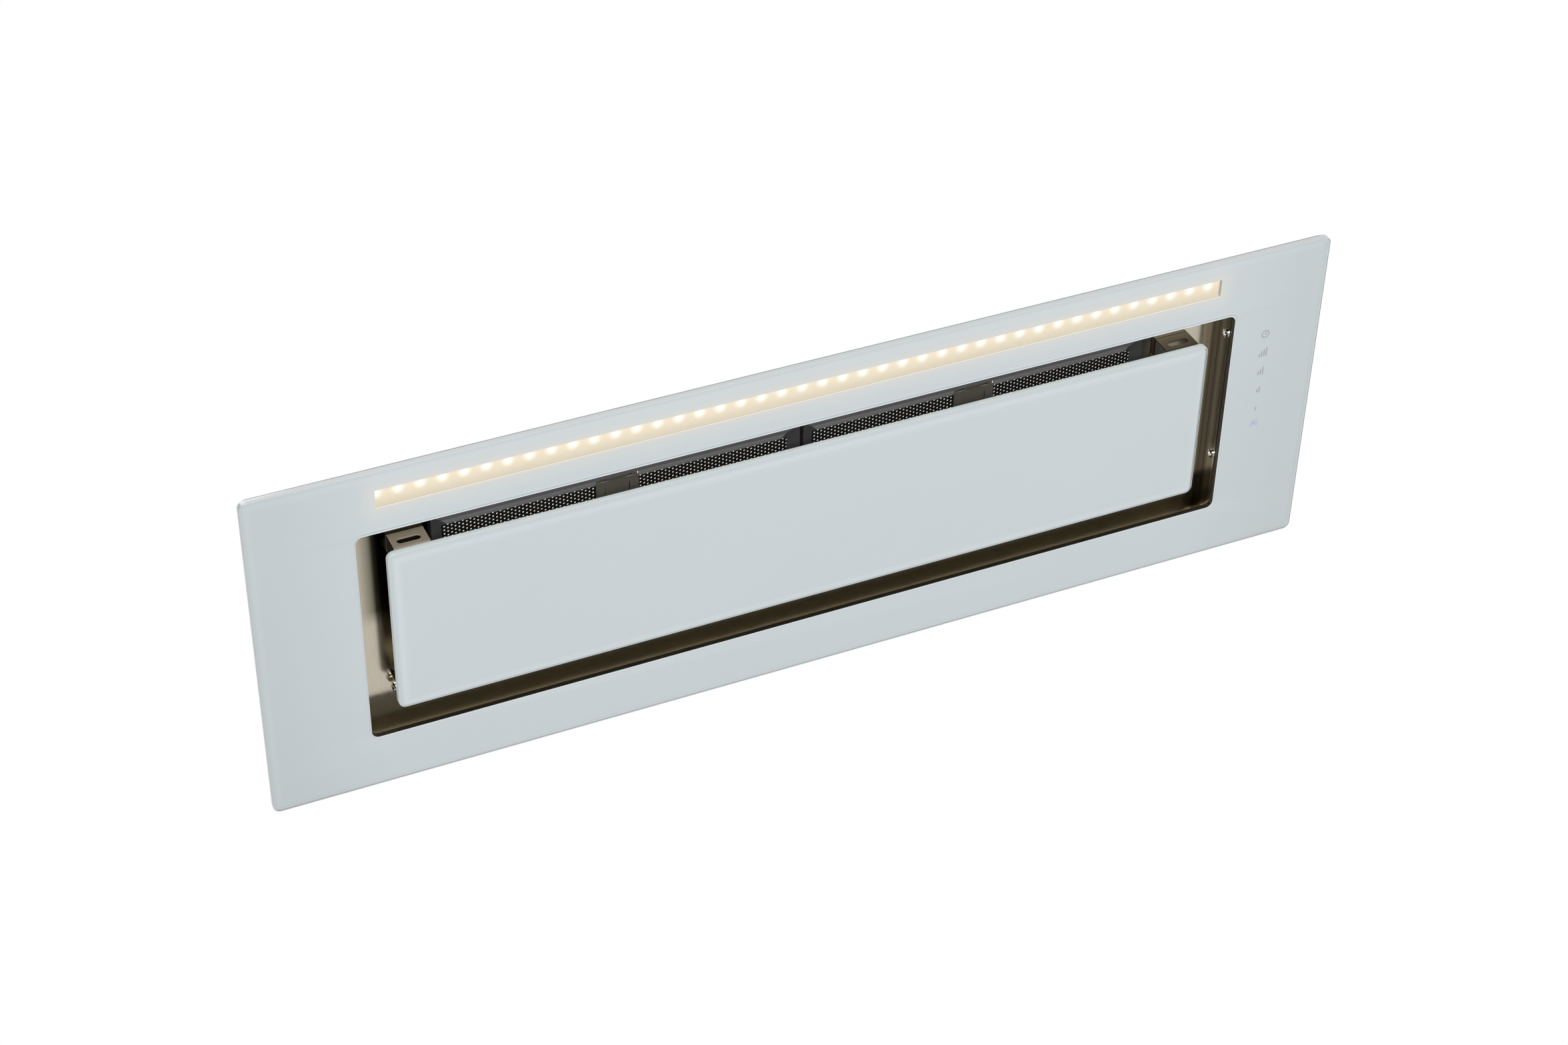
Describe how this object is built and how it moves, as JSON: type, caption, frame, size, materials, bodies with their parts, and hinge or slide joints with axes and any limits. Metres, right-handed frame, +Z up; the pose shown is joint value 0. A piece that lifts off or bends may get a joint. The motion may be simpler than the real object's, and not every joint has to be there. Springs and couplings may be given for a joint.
{
  "type": "range hood insert",
  "caption": "Glass-faced ceiling or cabinet range hood insert with a hinged centre panel, lamp strip, touch keys, filter cassettes, blower, duct collar and hanging brackets.",
  "frame": {"origin": "middle of the lower face of the glass", "axes": "+X along the glass with the touch keys at the +X end, +Y from the lamp to the hinge, +Z up into the cabinet"},
  "size_m": [0.892, 0.292, 0.1692],
  "materials": {
    "white_glass": "gloss",
    "lens": "satin",
    "tape": "matte",
    "seal_foam": "matte",
    "steel": "brushed",
    "zinc_sheet": "satin",
    "lamp_metal": "satin",
    "lamp_board": "satin",
    "led": "gloss",
    "circuit_board": "satin",
    "key_pad": "matte",
    "black_plastic": "satin",
    "fan_plastic": "satin",
    "well_metal": "satin",
    "screw_steel": "polished",
    "magnet": "satin",
    "filter_metal": "satin",
    "filter_mesh": "satin",
    "latch_metal": "satin",
    "spring_steel": "polished",
    "motor_paint": "satin",
    "winding": "satin",
    "rotor_steel": "satin",
    "white_plastic": "satin",
    "terminal_green": "satin"
  },
  "bodies": {
    "hood": {"face_glass": "white_glass", "lamp_window": "lens", "glass_tape": "tape", "glass_carrier": "steel", "rim_seal": "seal_foam", "lamp_channel": "lamp_metal", "lamp_board": "lamp_board", "lamp_leds": "led", "touch_board": "circuit_board", "touch_pads": "key_pad", "touch_cover": "black_plastic", "recess_pan": "steel", "filter_well": "well_metal", "wall_screws": "screw_steel", "catch_magnets": "magnet", "hinge_screws": "screw_steel", "filter_frame_left": "filter_metal", "filter_frame_right": "filter_metal", "filter_face_left": "filter_metal", "filter_face_right": "filter_metal", "filter_mesh_left": "filter_mesh", "filter_mesh_right": "filter_mesh", "filter_back_left": "filter_metal", "filter_back_right": "filter_metal", "latch_plate_left": "latch_metal", "latch_plate_right": "latch_metal", "latch_spring_left": "spring_steel", "latch_spring_right": "spring_steel", "body_shell": "zinc_sheet", "body_screws": "screw_steel", "body_top": "zinc_sheet", "case_screws": "screw_steel", "inlet_ring": "black_plastic", "blower_housing": "zinc_sheet", "blower_cover": "zinc_sheet", "motor_shell": "motor_paint", "motor_stator": "winding", "motor_bearings": "screw_steel", "duct_collar": "black_plastic", "damper_pin": "screw_steel", "control_box": "white_plastic", "control_lid": "white_plastic", "control_board": "circuit_board", "terminal_block": "terminal_green", "led_driver": "white_plastic", "capacitor": "white_plastic", "cable_gland": "black_plastic", "hanging_bracket_left": "zinc_sheet", "hanging_bracket_right": "zinc_sheet"},
    "panel": {"centre_glass": "white_glass", "panel_tray": "steel", "panel_bracket_left": "steel", "panel_bracket_right": "steel"},
    "latch_left": {"latch_slider_left": "latch_metal"},
    "latch_right": {"latch_slider_right": "latch_metal"},
    "fan": {"impeller": "fan_plastic", "motor_shaft": "screw_steel", "motor_rotor": "rotor_steel"},
    "damper_left": {"damper_flap_left": "black_plastic"},
    "damper_right": {"damper_flap_right": "black_plastic"}
  },
  "joints": [
    {"name": "panel_hinge", "type": "hinge", "parent": "hood", "child": "panel", "pos_m": [0, 0.07, 0.018], "axis": [1, 0, 0], "range_deg": [0, 80]},
    {"name": "latch_left_slide", "type": "slide", "parent": "hood", "child": "latch_left", "axis": [0, 1, 0], "range_m": [0, 0.005], "stiffness_N_per_m": 200, "springref_m": -0.008, "deforming": ["latch_spring_left"]},
    {"name": "latch_right_slide", "type": "slide", "parent": "hood", "child": "latch_right", "axis": [0, 1, 0], "range_m": [0, 0.005], "stiffness_N_per_m": 200, "springref_m": -0.008, "deforming": ["latch_spring_right"]},
    {"name": "fan_spin", "type": "hinge", "parent": "hood", "child": "fan", "pos_m": [-0.06, 0.0382, 0.12], "axis": [0, 0, 1], "continuous": true},
    {"name": "damper_left_swing", "type": "hinge", "parent": "hood", "child": "damper_left", "pos_m": [0.15, 0.0502, 0.1482], "axis": [0, 1, 0], "range_deg": [0, 75]},
    {"name": "damper_right_swing", "type": "hinge", "parent": "hood", "child": "damper_right", "pos_m": [0.15, 0.0502, 0.1482], "axis": [0, -1, 0], "range_deg": [0, 75]}
  ]
}
